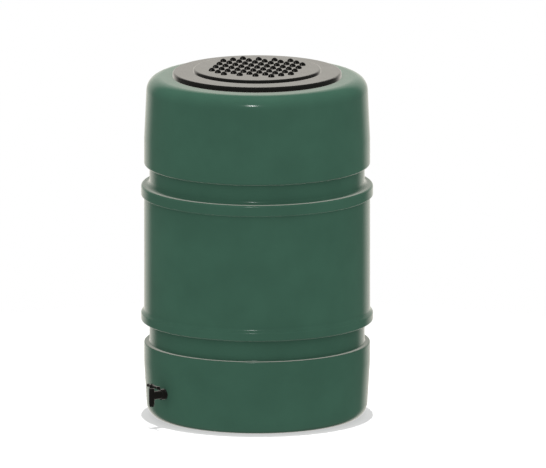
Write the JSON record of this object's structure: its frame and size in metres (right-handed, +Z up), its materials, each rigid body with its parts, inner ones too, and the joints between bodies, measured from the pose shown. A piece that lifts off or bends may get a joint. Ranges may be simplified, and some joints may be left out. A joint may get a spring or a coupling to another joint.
{
  "type": "rain barrel",
  "caption": "Upright ribbed plastic drum that stores rainwater, with a domed strainer in a lift-off lid, a quarter-turn tap low on the front and an overflow spout behind.",
  "frame": {"origin": "centre of the drum's base, in the plane it stands on", "axes": "+Z up along the drum's axis, -Y towards the tap, +Y towards the overflow"},
  "size_m": [0.5848, 0.6554, 0.8991],
  "materials": {
    "green_polyethylene": "satin moulded",
    "black_lid_plastic": "satin moulded",
    "black_tap_plastic": "satin moulded",
    "grey_plug_plastic": "smooth moulded",
    "black_rubber": "matt",
    "foam_gasket": "closed-cell foam",
    "screen_mesh": "woven coated glass fibre",
    "stainless_screw": "plain",
    "blackened_screw": "black oxide"
  },
  "bodies": {
    "barrel": {"barrel_shell": "green_polyethylene", "tap_body": "black_tap_plastic", "tap_gland": "black_tap_plastic", "tap_outer_washer": "black_rubber", "tap_inner_washer": "black_rubber", "tap_backnut": "black_tap_plastic", "overflow_spout": "black_tap_plastic", "overflow_outer_washer": "black_rubber", "overflow_inner_washer": "black_rubber", "overflow_backnut": "black_tap_plastic"},
    "tap_valve": {"tap_plug": "grey_plug_plastic", "plug_upper_seal": "black_rubber", "plug_lower_seal": "black_rubber", "tap_handle": "black_tap_plastic", "tap_handle_screw": "blackened_screw"},
    "lid": {"lid_ring": "black_lid_plastic", "lid_gasket": "foam_gasket"},
    "strainer": {"strainer_cover": "black_lid_plastic", "insect_screen": "screen_mesh", "screen_clamp_ring": "black_lid_plastic", "screen_screws": "stainless_screw"}
  },
  "joints": [
    {"name": "tap_turn", "type": "hinge", "parent": "barrel", "child": "tap_valve", "pos_m": [0, -0.32046, 0.0842], "axis": [0, 0, 1], "range_deg": [0, 90]},
    {"name": "lid_lift", "type": "slide", "parent": "barrel", "child": "lid", "axis": [0, 0, 1], "range_m": [0, 0.12]},
    {"name": "strainer_lift", "type": "slide", "parent": "lid", "child": "strainer", "axis": [0, 0, 1], "range_m": [0, 0.08]}
  ]
}
